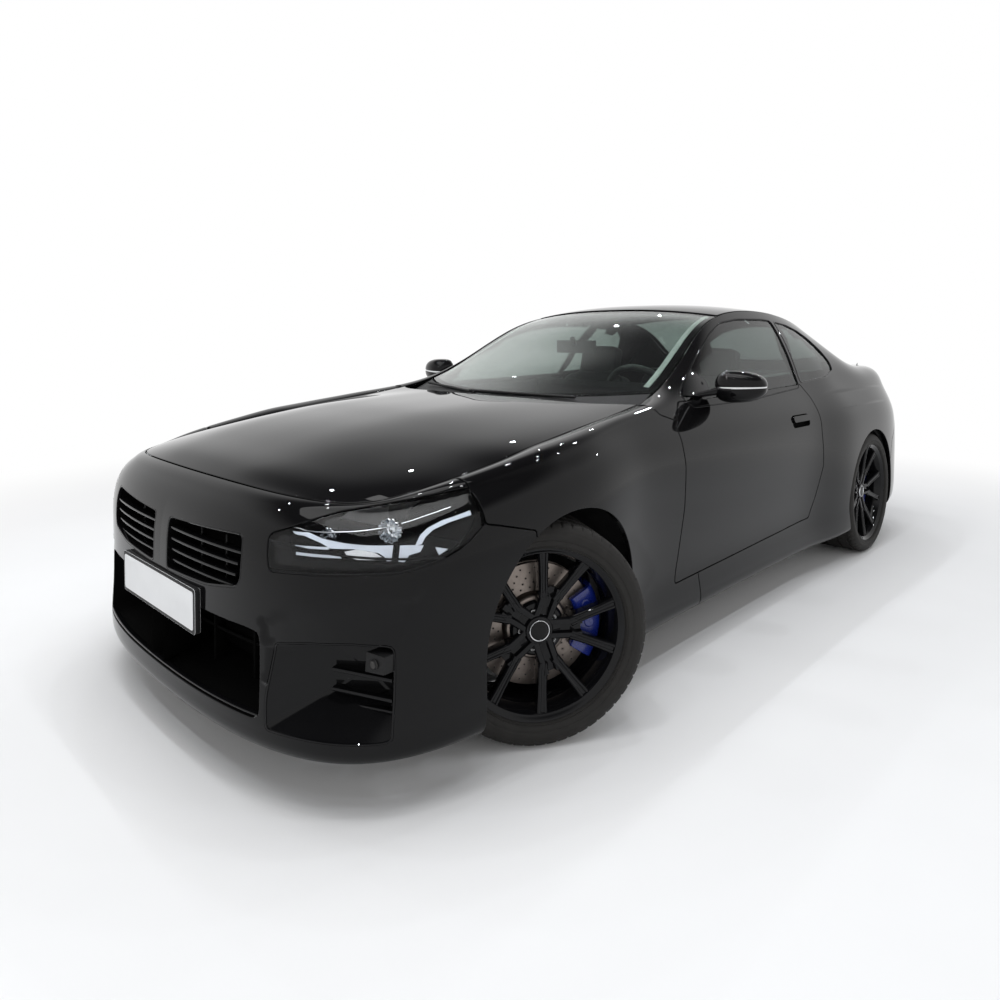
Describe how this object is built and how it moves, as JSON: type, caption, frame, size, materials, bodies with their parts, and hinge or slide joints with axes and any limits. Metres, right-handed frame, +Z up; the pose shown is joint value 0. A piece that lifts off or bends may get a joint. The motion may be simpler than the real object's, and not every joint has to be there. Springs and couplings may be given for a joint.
{
  "type": "coupe car",
  "caption": "Two-door coupe car with opening doors, bonnet and boot lid, steering front wheels and a furnished cabin.",
  "frame": {"origin": "on the ground under the middle of the car", "axes": "+Z up, nose towards -Y, left side of the car towards +X"},
  "size_m": [2.1342, 4.5802, 1.403],
  "materials": {
    "body_paint": "gloss black with a brown cast",
    "window_glass": "clear, slightly green",
    "tyre_rubber": "matt",
    "rim_paint": "gloss black",
    "brake_steel": "machined, drilled",
    "caliper_paint": "gloss blue",
    "lamp_lens": "clear lens",
    "tail_lens": "dark red lens",
    "black_plastic": "grained black",
    "seat_leather": "black leather",
    "cabin_trim": "soft black trim",
    "engine_alloy": "cast",
    "exhaust_steel": "dark polished",
    "chassis_steel": "black coated"
  },
  "bodies": {
    "root": {"arch_liners": "black_plastic", "cowl_panel": "black_plastic", "dashboard": "cabin_trim", "engine_block": "engine_alloy", "exhaust": "exhaust_steel", "fender_left": "body_paint", "fender_right": "body_paint", "firewall": "chassis_steel", "floor_pan": "chassis_steel", "front_bumper": "body_paint", "front_frame": "chassis_steel", "front_grilles": "black_plastic", "front_seats": "seat_leather", "front_suspension": "chassis_steel", "headlamps": "lamp_lens", "interior_mirror": "black_plastic", "rear_bench": "seat_leather", "rear_bumper": "body_paint", "rear_calipers": "caliper_paint", "rear_floor": "chassis_steel", "rear_suspension": "chassis_steel", "rear_windows": "window_glass", "roof_panel": "body_paint", "side_panel_left": "body_paint", "side_panel_right": "body_paint", "steering_wheel": "cabin_trim", "tail_lamps": "tail_lens", "windscreen": "window_glass", "wipers": "black_plastic"},
    "knuckle_left": {"knuckle_left": "chassis_steel", "front_caliper_left": "caliper_paint"},
    "knuckle_right": {"knuckle_right": "chassis_steel", "front_caliper_right": "caliper_paint"},
    "door_left": {"door_left": "body_paint", "door_glass_left": "window_glass", "mirror_left": "body_paint"},
    "door_right": {"door_right": "body_paint", "door_glass_right": "window_glass", "mirror_right": "body_paint"},
    "bonnet": {"bonnet": "body_paint"},
    "boot_lid": {"boot_lid": "body_paint"},
    "wheel_fl": {"tyre_fl": "tyre_rubber", "rim_fl": "rim_paint", "disc_fl": "brake_steel"},
    "wheel_fr": {"tyre_fr": "tyre_rubber", "rim_fr": "rim_paint", "disc_fr": "brake_steel"},
    "wheel_rl": {"tyre_rl": "tyre_rubber", "rim_rl": "rim_paint", "disc_rl": "brake_steel"},
    "wheel_rr": {"tyre_rr": "tyre_rubber", "rim_rr": "rim_paint", "disc_rr": "brake_steel"}
  },
  "joints": [
    {"name": "steer_left", "type": "hinge", "parent": "root", "child": "knuckle_left", "pos_m": [0.735, -1.428, 0.3375], "axis": [0, 0, 1], "range_deg": [-4, 68]},
    {"name": "steer_right", "type": "hinge", "parent": "root", "child": "knuckle_right", "pos_m": [-0.735, -1.428, 0.3375], "axis": [0, 0, 1], "range_deg": [-4, 68]},
    {"name": "spin_fl", "type": "hinge", "parent": "knuckle_left", "child": "wheel_fl", "pos_m": [0.78808, -1.46099, 0.3375], "axis": [0.8493, -0.5278, 0], "continuous": true},
    {"name": "spin_fr", "type": "hinge", "parent": "knuckle_right", "child": "wheel_fr", "pos_m": [-0.78808, -1.39501, 0.3375], "axis": [0.8493, -0.5278, 0], "continuous": true},
    {"name": "spin_rl", "type": "hinge", "parent": "root", "child": "wheel_rl", "pos_m": [0.7925, 1.319, 0.3395], "axis": [1, 0, 0], "continuous": true},
    {"name": "spin_rr", "type": "hinge", "parent": "root", "child": "wheel_rr", "pos_m": [-0.7925, 1.319, 0.3395], "axis": [1, 0, 0], "continuous": true},
    {"name": "door_left_hinge", "type": "hinge", "parent": "root", "child": "door_left", "pos_m": [0.866, -0.65, 0.6], "axis": [0, 0, -1], "range_deg": [0, 65]},
    {"name": "door_right_hinge", "type": "hinge", "parent": "root", "child": "door_right", "pos_m": [-0.866, -0.65, 0.6], "axis": [0, 0, 1], "range_deg": [0, 65]},
    {"name": "bonnet_hinge", "type": "hinge", "parent": "root", "child": "bonnet", "pos_m": [0, -0.722, 0.975], "axis": [-1, 0, 0], "range_deg": [0, 45]},
    {"name": "boot_hinge", "type": "hinge", "parent": "root", "child": "boot_lid", "pos_m": [0, 1.572, 1.108], "axis": [1, 0, 0], "range_deg": [0, 75]}
  ],
  "couplings": [
    {"joint": "steer_right", "follows": "steer_left", "ratio": 1}
  ]
}
